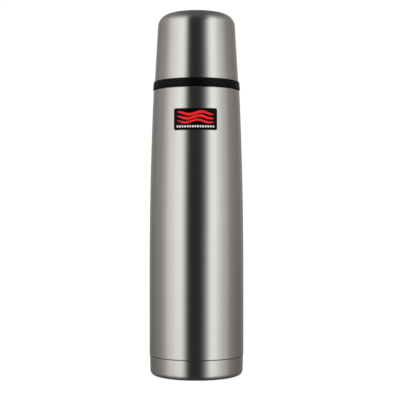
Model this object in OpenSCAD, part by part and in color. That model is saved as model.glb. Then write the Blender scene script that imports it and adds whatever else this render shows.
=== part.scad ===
// Slim steel vacuum flask: a double-walled bottle, a push-button stopper screwed into its neck,
// and a steel drinking cup screwed over the stopper. Millimetres.
// The origin is the centre of the base on the table, +Z is up, and the badge faces -Y.

/* [Bottle] */
// Largest diameter of the bottle
body_d = 82; // [80:1:110]
// How much the radius draws in between the largest diameter and the shoulder
body_taper = 3.6; // [2:0.1:5]
// Height of the straight lower part, where the taper starts
straight_h = 90; // [60:1:150]
// Height of the bottle up to its shoulder
body_h = 247.5; // [200:0.5:320]
// Rounding where the side turns in to the shoulder
shoulder_fillet = 1.4; // [1:0.1:2.5]
// Wall of the outer shell, its bottom, the base cap and the cup's skin
shell_wall = 0.4; // [0.3:0.05:0.6]
// Wall of the inner vessel and its bottom
vessel_wall = 0.3; // [0.25:0.05:0.5]
// Vacuum space between the two walls
vacuum_gap = 2.6; // [2:0.1:4]
// Vacuum space between the two bottoms
bottom_gap = 5.7; // [5:0.1:12]
// Corner radius of the inner vessel's shoulder
vessel_corner = 8; // [5:0.5:9]

/* [Neck] */
// Bore of the neck that the stopper screws into
neck_bore_d = 47; // [39:0.5:48]
// Height of the lip above the shoulder
neck_h = 15.5; // [15:0.5:24]
// Depth of the stopper's seat below the lip
seat_depth = 20; // [18:0.5:26]
// Width of the ledge that the stopper seals on
seat_w = 2.5; // [2:0.1:3]
// Vacuum space between the two walls of the neck
neck_gap = 2.8; // [2:0.1:3]
// Length of the narrow throat below the ledge
throat_h = 3; // [2:0.5:6]

/* [Base] */
// Height of the base cap up to its seam
base_h = 16.9; // [14:0.1:30]
// How far the base cap's face stands in from the bottle's side
base_step = 0.4; // [0.2:0.1:0.8]
// How much the base cap's radius draws in towards the table
base_draw = 0.3; // [0:0.1:0.6]
// Rounding of the base cap's bottom edge
base_fillet = 4.5; // [3:0.5:6]
// Width of the flat ring that the flask stands on
foot_w = 5; // [3:0.5:12]
// Height of the recess inside that ring
foot_recess = 2.5; // [1:0.1:4]

/* [Cup] */
// Height of the cup
cup_h = 67.2; // [56:0.1:90]
// Draft of the cup's side, in degrees
cup_draft = 3.3; // [1:0.1:5]
// Corner radius of the cup's crown
crown_corner = 11; // [8:0.5:14]
// Radius of the shallow dome on top of the cup
crown_dome = 200; // [120:5:500]
// Wall of the cup's plastic liner
liner_wall = 1.5; // [1.2:0.1:2.2]
// Height of the liner's lip, the band between cup and bottle
band_h = 6.85; // [5:0.05:10]
// How far the band stands out from the bottle
band_proud = 0.55; // [0:0.05:1]
// How far the band stands out from the cup's skin
band_step = 1.55; // [1:0.05:2]
// Width of the band, from its outside to the bore that screws over the collar
band_w = 4.15; // [4:0.05:4.5]
// Thickness of the soft ring under the band
cup_seal_t = 1.9; // [1.5:0.1:3]

/* [Threads] */
// Depth of a thread ridge
thread_depth = 1.2; // [1:0.1:1.4]
// Radial clearance between a ridge and the wall it runs along
thread_clear = 0.3; // [0.25:0.05:0.4]
// Width of a ridge at its root
ridge_root = 2.2; // [1.6:0.1:2.4]
// Width of a ridge at its crest
ridge_crest = 1; // [0.6:0.1:1.2]
// Height between neighbouring ridges
thread_pitch = 4; // [4:0.1:5]
// Number of thread starts on the cup and collar
cup_starts = 3; // [2:1:4]
// Turns of each ridge on the cup and collar
cup_turns = 0.4; // [0.25:0.05:0.5]
// Number of thread starts on the stopper and neck
stopper_starts = 2; // [1:1:3]
// Turns of each ridge on the stopper and neck
stopper_turns = 0.9; // [0.5:0.05:1]

/* [Collar] */
// Height of the collar round the neck
collar_h = 13; // [12:0.5:14]
// Wall of the collar
collar_wall = 1.6; // [1.2:0.1:2]
// Number of ribs under the collar
collar_ribs = 12; // [6:1:24]

/* [Stopper] */
// Wall of the stopper's threaded skirt
skirt_wall = 2.3; // [1.8:0.1:2.8]
// How far the skirt reaches below its seat
spigot_h = 7; // [6:0.5:12]
// Radius of the stopper's head
head_r = 26.2; // [25:0.1:27]
// Wall of the head
head_wall = 1.7; // [1.4:0.1:2.2]
// Number of grip flutes round the head
flutes = 40; // [24:2:60]
// Height of the pour slots
pour_h = 3; // [2.5:0.1:5]
// Width of the pour slots
pour_w = 16; // [10:0.5:20]
// Thickness of the head's plates
plate_t = 1.2; // [1:0.1:2]
// Height of the space that holds the latch and the release tabs
latch_h = 2.9; // [2.7:0.1:4]
// Thickness of the cover
cover_t = 1.4; // [1.2:0.1:2]
// Outer radius of the core tube that guides the button
core_r = 12.5; // [12:0.1:13.5]
// Wall of the core tube
core_wall = 1.3; // [1:0.1:1.6]
// Thickness of the stopper's gasket
gasket_t = 1.6; // [1.2:0.1:2.4]

/* [Valve] */
// Travel of the button
button_travel = 3; // [2:0.1:3]
// Radius of the button's cap
button_r = 13.1; // [12:0.1:14]
// Thickness of the button's cap
button_t = 2.2; // [1.8:0.1:3]
// Radius of the button's shank
shank_r = 9.5; // [9:0.1:10]
// Radius of the valve stem
stem_r = 2.75; // [2:0.05:3.2]
// Radius of the valve's hole in the stopper's floor
valve_hole_r = 9; // [8:0.1:9.5]
// Radius of the valve plug
plug_r = 11.5; // [11:0.1:12.5]
// Thickness of the valve's gasket
valve_gasket_t = 1.25; // [1:0.05:2]
// Wire diameter of the button's spring
spring_wire = 0.8; // [0.5:0.1:1]
// Mean radius of the button's spring
spring_r = 6.2; // [5.8:0.1:6.8]
// Turns of the button's spring
spring_turns = 8; // [5:0.5:10]
// Wire diameter of the oval latch ring
latch_wire = 0.9; // [0.7:0.1:1]
// Width of each release tab's pad
tab_w = 12.4; // [8:0.1:14]
// Travel of each release tab
tab_travel = 1.5; // [1:0.1:1.8]

/* [Badge] */
// Width of the badge, straight across
badge_w = 36.2; // [24:0.1:44]
// Height of the badge
badge_h = 18.1; // [10:0.1:24]
// Height of the badge's centre above the table
badge_z = 219.6; // [150:0.1:235]
// Thickness of the badge
badge_t = 0.5; // [0.3:0.05:1]
// Corner radius of the badge
badge_corner = 1.5; // [0.5:0.1:4]

/* [Hidden] */
$fn = 96;

// Clearances: glued or welded faces, pressed seals, sliding fits and free space
glue_gap = 0.05;
seal_gap = 0.05;
slide_gap = 0.1;
free_gap = 0.3;
// Segments of a small rounding, and of the long taper
arc_steps = 6;
taper_steps = 8;
// Degrees between the rings of a thread ridge
ridge_step = 10;

// Bottle: straight side, then one long arc that starts tangent to it
body_r = body_d / 2;
taper_l = body_h - straight_h;
taper_arc = (taper_l * taper_l + body_taper * body_taper) / (2 * body_taper);
top_r = body_r - body_taper;
function side_r(z) = z <= straight_h ? body_r
    : body_r - taper_arc + sqrt(taper_arc * taper_arc - pow(z - straight_h, 2));
function taper_z(i) = straight_h + (body_h - shoulder_fillet - straight_h) * i / taper_steps;

// Base: the shell's skirt is joggled in at 45 degrees, so that the base cap slips over it
cap_top_r = body_r - base_step;
cap_low_r = cap_top_r - base_draw;
skirt_r = cap_low_r - shell_wall - glue_gap;
skirt_z = 6.6;
joggle_z = base_h - 0.2;
joggle_shift = shell_wall * tan(22.5);
outer_bottom_z = skirt_z + 2.9;
vessel_z = outer_bottom_z + bottom_gap;

// Neck
neck_bore_r = neck_bore_d / 2;
neck_r = neck_bore_r + vessel_wall + neck_gap + shell_wall;
lip_z = body_h + neck_h;
roll_r = (neck_r - neck_bore_r) / 2;
roll_in_r = neck_gap / 2;
roll_z = lip_z - roll_r;
root_fillet = 1;
seat_z = lip_z - seat_depth;
throat_r = neck_bore_r - seat_w;
throat_z = seat_z - throat_h;
flare_r = 3;
bead_r = 0.6;
bead_out = 0.4;
bead_z = body_h + collar_h - 4;

// Cup: everything hangs from the band, which stands just clear of the shoulder
cup_z = body_h + free_gap;
band_r = top_r + band_proud;
band_top_z = cup_z + band_h;
mouth_r = band_r - band_step;
liner_bore_r = band_r - band_w;
crown_z = cup_z + cup_h;
dome_z = crown_z - crown_dome;
draft = tan(cup_draft);
// Centre of the crown's corner: tangent to the drafted side and to the dome
corner_a = mouth_r - crown_corner / cos(cup_draft) + draft * band_top_z;
corner_b = corner_a * draft + dome_z;
corner_c = corner_a * corner_a + dome_z * dome_z - pow(crown_dome - crown_corner, 2);
corner_z = (corner_b + sqrt(corner_b * corner_b - (1 + draft * draft) * corner_c)) / (1 + draft * draft);
corner_r = corner_a - draft * corner_z;
corner_end = atan2(corner_z - dome_z, corner_r);

// Threads: the screwed-on side runs half a pitch above the fixed side
cup_lead = cup_starts * thread_pitch;
collar_tip_r = liner_bore_r - thread_clear;
collar_r = collar_tip_r - thread_depth;
liner_tip_r = liner_bore_r - thread_depth;
cup_thread_z = body_h + 3.6;
stopper_lead = stopper_starts * thread_pitch;
stopper_tip_r = neck_bore_r - thread_clear;
stopper_r = stopper_tip_r - thread_depth;
neck_tip_r = neck_bore_r - thread_depth;
stopper_thread_z = seat_z + 4.5;

// Collar
collar_bore_r = neck_r + glue_gap;
collar_z = body_h + collar_h;
thread_top_z = collar_z + 1;

// Stopper
gasket_z = seat_z + seal_gap;
skirt_low_z = gasket_z + gasket_t + seal_gap;
spigot_r = throat_r - free_gap;
skirt_in_r = stopper_r - skirt_wall;
floor_z = seat_z - spigot_h;
floor_t = 2;
head_z = lip_z + 0.7;
pour_z = head_z + plate_t;
deck_z = pour_z + pour_h;
latch_z = deck_z + plate_t;
cover_z = latch_z + latch_h;
cover_top_z = cover_z + cover_t;
head_in_r = head_r - head_wall;
deck_ledge = 0.8;
core_in_r = core_r - core_wall;
core_z = floor_z + floor_t + 4;
core_floor_t = 3.2;
spring_z = core_z + core_floor_t;
tab_room = tab_w + 2 * free_gap;

// Valve
button_z = cover_top_z - 0.1;
shank_wall = 1.5;
shank_low_z = spring_z + button_travel + 3.8;
guide_h = 3;
stem_fit = 0.02;
valve_gasket_z = floor_z - seal_gap - valve_gasket_t;
plug_t = 2.7;
plug_z = valve_gasket_z - plug_t;
hub_r = 5;
hub_z = core_z - 1.5;
stem_z = plug_z + 1;
stem_top_z = button_z - 1;
latch_y = shank_r + latch_wire / 2 + 0.15;
latch_x = 14.3;
tab_in_x = latch_x + latch_wire / 2 + 0.15;
tab_flange_x = head_in_r - 3.6;
tab_out_r = head_r + tab_travel - free_gap;

function arc(r, z, radius, from, to, steps = arc_steps) =
    [for (i = [0:steps]) let (a = from + (to - from) * i / steps)
        [r + radius * cos(a), z + radius * sin(a)]];
function reversed(list) = [for (i = [len(list) - 1:-1:0]) list[i]];

// A sheet between two outlines that run the same way, spun about the axis
module spun_sheet(one, other) rotate_extrude() polygon(concat(one, reversed(other)));

module spun(outline) rotate_extrude() polygon(outline);

module tube(r_in, r_out, z, h) translate([0, 0, z])
    difference() {
        cylinder(r = r_out, h = h);
        translate([0, 0, -1]) cylinder(r = r_in, h = h + 2);
    }

// Trapezoid ridges on a right-hand helix, rising from a wall at root_r to a crest at tip_r.
// Each ridge is sunk into the wall by `sink` and fades out over three steps at both ends.
// All rings stand half a step off the X axis, where the spun walls have their seam.
module thread(root_r, tip_r, z, lead, starts, turns, sink) {
    steps = round(turns * 360 / ridge_step);
    way = sign(tip_r - root_r);
    function rise(i) = min(1, i / 3, (steps - i) / 3);
    function crest(i) = rise(i) > 0 ? root_r + (tip_r - root_r) * rise(i) : root_r - way * sink / 2;
    function spot(r, i, dz) = let (a = i * ridge_step)
        [r * cos(a), r * sin(a), z + lead * a / 360 + dz];
    function ring(i) = let (
            root = [root_r - way * sink, ridge_root / 2], top = [crest(i), ridge_crest / 2],
            in = way > 0 ? root : top, out = way > 0 ? top : root)
        [spot(in[0], i, -in[1]), spot(out[0], i, -out[1]), spot(out[0], i, out[1]), spot(in[0], i, in[1])];
    for (s = [0:starts - 1]) rotate([0, 0, 360 / starts * s + ridge_step / 2])
        swept([for (i = [0:steps]) ring(i)]);
}

// A closed solid through a row of rings that have the same number of points
module swept(rings, closed = false) {
    n = len(rings[0]);
    last = len(rings) - 1;
    points = [for (ring = rings) for (p = ring) p];
    sides = [for (i = [0:closed ? last : last - 1], j = [0:n - 1])
        let (k = (i + 1) % len(rings), a = i * n + j, b = i * n + (j + 1) % n,
            c = k * n + (j + 1) % n, d = k * n + j)
        each [[a, b, c], [a, c, d]]];
    ends = closed ? [] : [[for (j = [n - 1:-1:0]) j], [for (j = [0:n - 1]) last * n + j]];
    polyhedron(points, concat(sides, ends), convexity = 10);
}

// ---- Bottle ----

// One face of the outer shell, `depth` below the outside
function shell_face(depth) = concat(
    [[skirt_r - depth, skirt_z],
     [skirt_r - depth, joggle_z + depth / shell_wall * joggle_shift],
     [body_r - depth, joggle_z + body_r - skirt_r + depth / shell_wall * joggle_shift]],
    [for (i = [0:taper_steps]) [side_r(taper_z(i)) - depth, taper_z(i)]],
    arc(side_r(body_h - shoulder_fillet) - shoulder_fillet, body_h - shoulder_fillet,
        shoulder_fillet - depth, 15, 90),
    arc(neck_r + root_fillet, body_h + root_fillet, root_fillet + depth, 270, 180),
    depth > 0 ? [] : arc(neck_r + bead_out - bead_r, bead_z, bead_r, -65, 65),
    [[neck_r - depth, roll_z]]);

module outer_shell() color([0.72, 0.71, 0.69]) spun_sheet(shell_face(0), shell_face(shell_wall));

// One face of the inner vessel, `depth` below its vacuum side
function vessel_r(z) = side_r(z) - shell_wall - vacuum_gap;
shoulder_flat_z = throat_z - flare_r - 1;
vessel_corner_z = shoulder_flat_z - vessel_corner;
function vessel_face(depth) = concat(
    [[vessel_r(vessel_z) - depth, vessel_z]],
    [for (i = [0:taper_steps]) let (z = straight_h + (vessel_corner_z - straight_h) * i / taper_steps)
        [vessel_r(z) - depth, z]],
    arc(vessel_r(vessel_corner_z) - vessel_corner, vessel_corner_z, vessel_corner - depth, 10, 90),
    arc(throat_r + vessel_wall + flare_r, throat_z, flare_r + depth, 270, 180),
    [[throat_r + vessel_wall - depth, seat_z - vessel_wall + depth],
     [neck_bore_r + vessel_wall - depth, seat_z - vessel_wall + depth]]);

module inner_vessel() color([0.78, 0.78, 0.77]) {
    spun_sheet(
        concat(vessel_face(vessel_wall), arc(neck_bore_r + roll_r, roll_z, roll_r, 180, 0)),
        concat(vessel_face(0), arc(neck_bore_r + vessel_wall + roll_in_r, roll_z, roll_in_r, 180, 0)));
    thread(neck_bore_r, neck_tip_r, stopper_thread_z, stopper_lead, stopper_starts, stopper_turns,
        vessel_wall / 2);
}

// Dished plate with an upright flange, welded inside the vessel's lower edge
bottom_flange = 4;
bottom_bend = 3;
bottom_dish = 1.8;
function inner_bottom_face(depth) = let (r = vessel_r(vessel_z) - vessel_wall - depth) concat(
    [[r, vessel_z + bottom_flange + bottom_bend]],
    arc(r + depth - bottom_bend, vessel_z + bottom_bend, bottom_bend - depth, 0, -80),
    [[0, vessel_z - bottom_dish + depth]]);

module inner_bottom() color([0.78, 0.78, 0.77])
    spun_sheet(inner_bottom_face(0), inner_bottom_face(vessel_wall));

// Plate with a hanging flange and a dimple round the evacuation port
dimple_r = 12;
dimple_h = 1.4;
port_r = 1.5;
function outer_bottom_face(depth) = let (r = skirt_r - shell_wall - depth, z = outer_bottom_z - depth)
    [[r, skirt_z], [r, z], [dimple_r, z], [dimple_r - dimple_h, z - dimple_h], [port_r, z - dimple_h]];

module outer_bottom() color([0.68, 0.67, 0.65])
    spun_sheet(outer_bottom_face(0), outer_bottom_face(shell_wall));

// Foil wrapped round the vessel
foil_gap = 0.15;
foil_t = 0.2;
foil_z = vessel_z + 5;
foil_top_z = vessel_corner_z - 4;
function foil_face(depth) = concat(
    [[vessel_r(foil_z) + foil_gap + depth, foil_z]],
    [for (i = [0:taper_steps]) let (z = straight_h + (foil_top_z - straight_h) * i / taper_steps)
        [vessel_r(z) + foil_gap + depth, z]]);

module radiation_foil() color([0.80, 0.52, 0.36]) spun_sheet(foil_face(foil_t), foil_face(0));

// Getter pellet in a bent strip, standing on the outer bottom
getter_x = 24;
getter_r = 4.5;
getter_t = 1.6;
clip_t = 0.3;
clip_w = 5;
clip_in = getter_r + slide_gap;

module getter() color([0.35, 0.35, 0.36])
    translate([getter_x, 0, outer_bottom_z + clip_t]) cylinder(r = getter_r, h = getter_t);

module getter_clip() color([0.7, 0.69, 0.66]) translate([getter_x, 0, outer_bottom_z]) {
    translate([-clip_in - clip_t, -clip_w / 2, 0]) cube([2 * (clip_in + clip_t), clip_w, clip_t]);
    for (side = [0, 180]) rotate([0, 0, side]) {
        translate([clip_in, -clip_w / 2, 0]) cube([clip_t, clip_w, getter_t + 2 * clip_t]);
        translate([clip_in - 1.5, -clip_w / 2, getter_t + clip_t]) cube([1.5 + clip_t, clip_w, clip_t]);
    }
}

// Stub that seals the evacuation port, with a flange under the plate
module vacuum_plug() color([0.55, 0.54, 0.52]) {
    translate([0, 0, outer_bottom_z - dimple_h - shell_wall]) cylinder(r = port_r, h = shell_wall + 0.6);
    translate([0, 0, outer_bottom_z - dimple_h - shell_wall - 1.2]) cylinder(r = 4, h = 1.2);
}

// Pressed cap with a foot ring, slipped over the shell's skirt
foot_out_r = cap_low_r - base_fillet;
foot_in_r = foot_out_r - foot_w;
function cap_face(depth) = concat(
    [[cap_top_r - depth, base_h]],
    arc(cap_low_r - base_fillet, base_fillet, base_fillet - depth, 0, -90),
    [[foot_in_r + depth / 2, depth], [foot_in_r - foot_recess + depth / 2, foot_recess + depth],
     [0, foot_recess + depth]]);

module base_cap() color([0.72, 0.71, 0.69]) spun_sheet(cap_face(0), cap_face(shell_wall));

// Curved plate glued to the side, cut to a rounded rectangle
module badge_plate() color([0.05, 0.05, 0.05]) intersection() {
    spun_sheet(
        [for (i = [0:4]) let (z = badge_z + badge_h * (i / 4 - 0.5)) [side_r(z) + glue_gap + badge_t, z]],
        [for (i = [0:4]) let (z = badge_z + badge_h * (i / 4 - 0.5)) [side_r(z) + glue_gap, z]]);
    translate([0, 0, badge_z]) rotate([90, 0, 0])
        linear_extrude(body_d) rounded_box(badge_w, badge_h, badge_corner);
}

module rounded_box(w, h, r) union() {
    square([w - 2 * r, h], center = true);
    square([w, h - 2 * r], center = true);
    for (x = [-1, 1], y = [-1, 1]) translate([x * (w / 2 - r), y * (h / 2 - r)]) circle(r = r);
}

// Plastic ring round the neck that carries the cup's thread
edge_cut = 0.8;
rib_t = 1.2;
rib_rise = 3;
module neck_collar() color([0.07, 0.07, 0.07]) {
    spun(concat(
        [[collar_r - collar_wall, body_h], [collar_r, body_h], [collar_r, collar_z - edge_cut],
         [collar_r - edge_cut, collar_z], [collar_bore_r, collar_z]],
        arc(neck_r + bead_out - bead_r, bead_z, bead_r + slide_gap, 60, -60),
        [[collar_bore_r, body_h + 2 * root_fillet],
         [collar_bore_r + collar_wall, body_h + 2 * root_fillet],
         [collar_bore_r + collar_wall, collar_z - collar_wall],
         [collar_r - collar_wall, collar_z - collar_wall]]));
    thread(collar_r, collar_tip_r, cup_thread_z, cup_lead, cup_starts, cup_turns, collar_wall / 2);
    for (i = [1:collar_ribs]) rotate([0, 0, 360 / collar_ribs * i])
        translate([collar_bore_r + collar_wall / 2, -rib_t / 2, body_h + rib_rise])
            cube([collar_r - collar_bore_r - collar_wall, rib_t, collar_h - rib_rise - collar_wall / 2]);
}

// ---- Cup ----

// One face of the cup's skin and liner, `depth` below the outside, from a height on the side to the axis
function cup_r(z, depth) = mouth_r - draft * (z - band_top_z) - depth / cos(cup_draft);
function cup_face(z, depth) = concat(
    [[cup_r(z, depth), z]],
    arc(corner_r, corner_z, crown_corner - depth, cup_draft, corner_end, 12),
    arc(0, dome_z, crown_dome - depth, corner_end, 90, 4));

module cup_shell() color([0.72, 0.71, 0.69])
    spun_sheet(cup_face(band_top_z, 0), cup_face(band_top_z, shell_wall));

liner_depth = shell_wall + glue_gap;
seal_room_r = band_r - 2.1;

module cup_liner() color([0.05, 0.05, 0.05]) {
    spun_sheet(
        concat(
            [[seal_room_r, cup_z]],
            arc(band_r - 0.6, cup_z + 0.6, 0.6, -90, 0, 4),
            arc(band_r - 1.4, band_top_z - 0.9, 0.9, 0, 90, 4),
            [[cup_r(band_top_z, liner_depth), band_top_z]],
            cup_face(band_top_z + 1, liner_depth)),
        concat(
            [[seal_room_r, cup_z + cup_seal_t - free_gap],
             [liner_bore_r, cup_z + cup_seal_t - free_gap],
             [liner_bore_r, thread_top_z]],
            cup_face(thread_top_z + 1.5, liner_depth + liner_wall)));
    thread(liner_bore_r, liner_tip_r, cup_thread_z + thread_pitch / 2, cup_lead, cup_starts, cup_turns,
        liner_wall / 2);
}

// Soft ring under the band, bedded on the bottle's shoulder
module cup_seal() color([0.2, 0.2, 0.2])
    tube(liner_bore_r + slide_gap, seal_room_r - glue_gap, body_h + seal_gap,
        cup_seal_t - seal_gap - glue_gap);

// ---- Stopper ----

// Gasket on the spigot, small enough to pass the neck's thread
module stopper_gasket() color([0.85, 0.85, 0.83])
    tube(spigot_r + seal_gap, neck_tip_r - slide_gap, gasket_z, gasket_t);

// Skirt with a floor and valve hole, and a head with pour slots and tab windows
module stopper_body() color([0.09, 0.09, 0.09]) {
    difference() {
        union() {
            spun([[valve_hole_r, floor_z], [spigot_r, floor_z], [spigot_r, skirt_low_z],
                [stopper_r, skirt_low_z], [stopper_r, head_z + 0.5], [skirt_in_r, head_z + 0.5],
                [skirt_in_r, floor_z + floor_t], [valve_hole_r, floor_z + floor_t]]);
            translate([0, 0, head_z]) linear_extrude(cover_z - head_z) difference() {
                circle(r = head_r);
                circle(r = skirt_in_r);
                for (i = [1:flutes]) rotate(360 / flutes * (i + 0.5))
                    translate([head_r + 0.5, 0]) circle(r = 0.9, $fn = 24);
            }
        }
        translate([0, 0, pour_z]) cylinder(r = head_in_r - deck_ledge, h = cover_z);
        translate([0, 0, deck_z]) cylinder(r = head_in_r, h = cover_z);
        translate([-pour_w / 2, -head_r - 1, pour_z]) cube([pour_w, 2 * head_r + 2, pour_h]);
        translate([-head_r - 1, -tab_room / 2, latch_z]) cube([2 * head_r + 2, tab_room, cover_z]);
    }
    thread(stopper_r, stopper_tip_r, stopper_thread_z + thread_pitch / 2, stopper_lead, stopper_starts,
        stopper_turns, skirt_wall / 2);
}

// Core tube under a deck: guides the button and the stem, and keeps the drink out of the latch
module stopper_core() color([0.8, 0.8, 0.78])
    spun([[stem_r + seal_gap, core_z], [core_r, core_z], [core_r, deck_z], [head_in_r - glue_gap, deck_z],
        [head_in_r - glue_gap, latch_z], [core_in_r, latch_z], [core_in_r, spring_z],
        [stem_r + seal_gap, spring_z], [stem_r + seal_gap, seal_groove_z + seal_groove_h],
        [seal_groove_r, seal_groove_z + seal_groove_h], [seal_groove_r, seal_groove_z],
        [stem_r + seal_gap, seal_groove_z]]);

// O-ring in the core's inner groove
seal_wire = 1.6;
seal_groove_h = seal_wire + slide_gap;
seal_groove_r = stem_r + seal_gap + seal_wire + glue_gap;
seal_groove_z = core_z + (core_floor_t - seal_groove_h) / 2;

module stem_seal() color([0.15, 0.15, 0.15])
    translate([0, 0, seal_groove_z + seal_groove_h / 2]) rotate_extrude()
        translate([stem_r + seal_gap + seal_wire / 2, 0]) circle(r = seal_wire / 2, $fn = 32);

// Cover with the button's hole, and a locating ring that leaves the tabs free
module stopper_cover() color([0.09, 0.09, 0.09]) {
    spun([[button_r + free_gap, cover_z], [head_r, cover_z], [head_r, cover_top_z - 0.6],
        [head_r - 0.6, cover_top_z], [button_r + free_gap + 0.3, cover_top_z],
        [button_r + free_gap, cover_top_z - 0.3]]);
    difference() {
        tube(head_in_r - 1.2, head_in_r - glue_gap, cover_z - 1.2, 1.5);
        translate([-head_r, -tab_room / 2 - 3, cover_z - 2]) cube([2 * head_r, tab_room + 6, 2]);
    }
}

// Compression spring: closed end turns, open turns between
spring_h = button_z - spring_z - 2 * seal_gap;
function spring_at(t) = t < 1 ? spring_wire * t
    : t > spring_turns - 1 ? spring_h - spring_wire - spring_wire * (spring_turns - t)
    : spring_wire + (spring_h - 3 * spring_wire) * (t - 1) / (spring_turns - 2);
spring_rings = 16 * spring_turns;

module valve_spring() color([0.75, 0.75, 0.74]) translate([0, 0, spring_z + seal_gap + spring_wire / 2])
    swept([for (i = [0:spring_rings]) let (a = 360 * spring_turns * i / spring_rings)
        [for (j = [0:7]) let (b = 45 * j, r = spring_r + spring_wire / 2 * cos(b))
            [r * cos(a), r * sin(a), spring_at(a / 360) + spring_wire / 2 * sin(b)]]]);

// Oval spring ring round the button's shank: squeezed along X, it bulges along Y and lets go
module latch_ring() color([0.75, 0.75, 0.74]) translate([0, 0, latch_z + slide_gap + latch_wire / 2])
    swept([for (i = [0:35]) let (a = 10 * i)
        [for (j = [0:7]) let (b = 45 * j, w = latch_wire / 2 * cos(b))
            [(latch_x + w) * cos(a), (latch_y + w) * sin(a), latch_wire / 2 * sin(b)]]], closed = true);

// ---- Valve ----

// Cap, grooved shank with a guide collar, and a boss that grips the stem
module push_button() color([0.5, 0.1, 0.09]) {
    spun([[0, button_z], [shank_r, button_z], [button_r, button_z], [button_r, button_z + button_t - 0.7],
        [button_r - 0.7, button_z + button_t], [button_r - 3, button_z + button_t],
        [button_r - 4, button_z + button_t - 0.5], [0, button_z + button_t - 0.5]]);
    spun([[shank_r - shank_wall, shank_low_z], [core_in_r - slide_gap, shank_low_z],
        [core_in_r - slide_gap, shank_low_z + guide_h], [shank_r, shank_low_z + guide_h],
        [shank_r, button_z - 2.2], [shank_r - 0.6, button_z - 1.9], [shank_r - 0.6, button_z - 1.1],
        [shank_r, button_z - 0.8], [shank_r, button_z + 0.2], [shank_r - shank_wall, button_z + 0.2]]);
    difference() {
        translate([0, 0, button_z - 9]) cylinder(r = 4.6, h = 9.2);
        translate([0, 0, button_z - 10]) cylinder(r = stem_r + stem_fit, h = 10 + stem_top_z - button_z);
    }
}

module valve_stem() color([0.74, 0.74, 0.73])
    translate([0, 0, stem_z]) cylinder(r = stem_r, h = stem_top_z - stem_z);

module valve_plug() color([0.8, 0.8, 0.78]) difference() {
    spun([[0, plug_z], [plug_r - 0.8, plug_z], [plug_r, plug_z + 0.8], [plug_r, valve_gasket_z],
        [hub_r, valve_gasket_z], [hub_r, hub_z], [0, hub_z]]);
    translate([0, 0, stem_z]) cylinder(r = stem_r + stem_fit, h = hub_z);
}

module valve_gasket() color([0.85, 0.85, 0.83])
    tube(valve_hole_r + 0.4, plug_r - 0.2, valve_gasket_z, valve_gasket_t);

// ---- Release tabs ----

// Pad outside the head, a flange that stops it behind the wall, and a nose at the latch ring
module release_tab() {
    h = latch_h - 0.4;
    translate([0, 0, latch_z + 0.2]) {
        intersection() {
            cylinder(r = tab_out_r, h = h);
            translate([tab_flange_x, -tab_w / 2, 0]) cube([10, tab_w, h]);
        }
        translate([tab_in_x, -4, 0]) cube([tab_flange_x - tab_in_x + 1, 8, 1.9]);
        translate([tab_flange_x, -tab_w / 2 - 2, 0]) cube([1.5, tab_w + 4, 1.9 / 2]);
    }
}

module release_tab_left() color([0.5, 0.1, 0.09]) rotate([0, 0, 180]) release_tab();

module release_tab_right() color([0.5, 0.1, 0.09]) release_tab();

outer_shell();
inner_vessel();
inner_bottom();
outer_bottom();
radiation_foil();
getter();
getter_clip();
vacuum_plug();
base_cap();
neck_collar();
badge_plate();
cup_seal();
cup_shell();
cup_liner();
stopper_gasket();
stopper_body();
stopper_core();
stopper_cover();
stem_seal();
valve_spring();
latch_ring();
push_button();
valve_stem();
valve_plug();
valve_gasket();
release_tab_left();
release_tab_right();
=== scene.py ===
"""Looks of the vacuum flask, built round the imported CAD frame.

Outlines are in millimetres, as (radius, height) pairs spun about the flask's axis. The sizes are those
of the CAD part. The pieces here add the roundings, rolled threads, flutes and finishes that its solids
leave out.
"""

import math

import bmesh
import bpy
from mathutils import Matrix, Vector, noise


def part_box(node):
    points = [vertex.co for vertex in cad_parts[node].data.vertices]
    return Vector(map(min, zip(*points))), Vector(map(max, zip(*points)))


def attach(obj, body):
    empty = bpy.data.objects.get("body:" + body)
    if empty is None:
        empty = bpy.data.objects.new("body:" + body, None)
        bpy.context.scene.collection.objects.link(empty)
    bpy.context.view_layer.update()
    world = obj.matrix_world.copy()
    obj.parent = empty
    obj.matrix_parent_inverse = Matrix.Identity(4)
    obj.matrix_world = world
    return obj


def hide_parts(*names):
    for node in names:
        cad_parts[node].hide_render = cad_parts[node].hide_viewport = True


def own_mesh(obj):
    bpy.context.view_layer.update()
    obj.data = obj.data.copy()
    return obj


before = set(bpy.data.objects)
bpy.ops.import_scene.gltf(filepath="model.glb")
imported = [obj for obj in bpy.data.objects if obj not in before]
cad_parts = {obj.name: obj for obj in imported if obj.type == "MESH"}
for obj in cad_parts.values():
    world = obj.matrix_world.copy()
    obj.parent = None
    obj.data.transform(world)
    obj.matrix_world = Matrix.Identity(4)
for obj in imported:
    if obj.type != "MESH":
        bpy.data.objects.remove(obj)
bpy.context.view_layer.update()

MM = 0.001
TURN = 2 * math.pi
UP = Vector((0, 0, 1))

# ---- Sizes of the CAD part ----
BODY_R, BODY_H, TAPER, STRAIGHT_H = 40.97, 247.5, 3.6, 90.0
TAPER_ARC = ((BODY_H - STRAIGHT_H) ** 2 + TAPER**2) / (2 * TAPER)
SHELL, VESSEL_WALL, VACUUM = 0.4, 0.3, 2.6
NECK_BORE, NECK_R, LIP_Z, SEAT_Z = 23.5, 27.0, 263.0, 243.0
THROAT_R, THROAT_Z, FLARE = 21.0, 240.0, 3.0
VESSEL_Z, SHOULDER_Z = 15.2, 228
ROLL_Z = LIP_Z - (NECK_R - NECK_BORE) / 2
MOUTH_R, BAND_TOP, CROWN_Z, DOME_R, CORNER_R = 36.4, 254.65, 315.0, 200.0, 11.0
DRAFT = math.radians(3.3)
THREAD_DEPTH, RIDGE_ROOT, RIDGE_CREST = 1.2, 2.2, 1.0
RIDGE_START, RIDGE_FADE = math.radians(5), math.radians(30)
CUP_LEAD, CUP_STARTS, STOPPER_LEAD, STOPPER_STARTS = 12, 3, 8, 2
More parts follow.
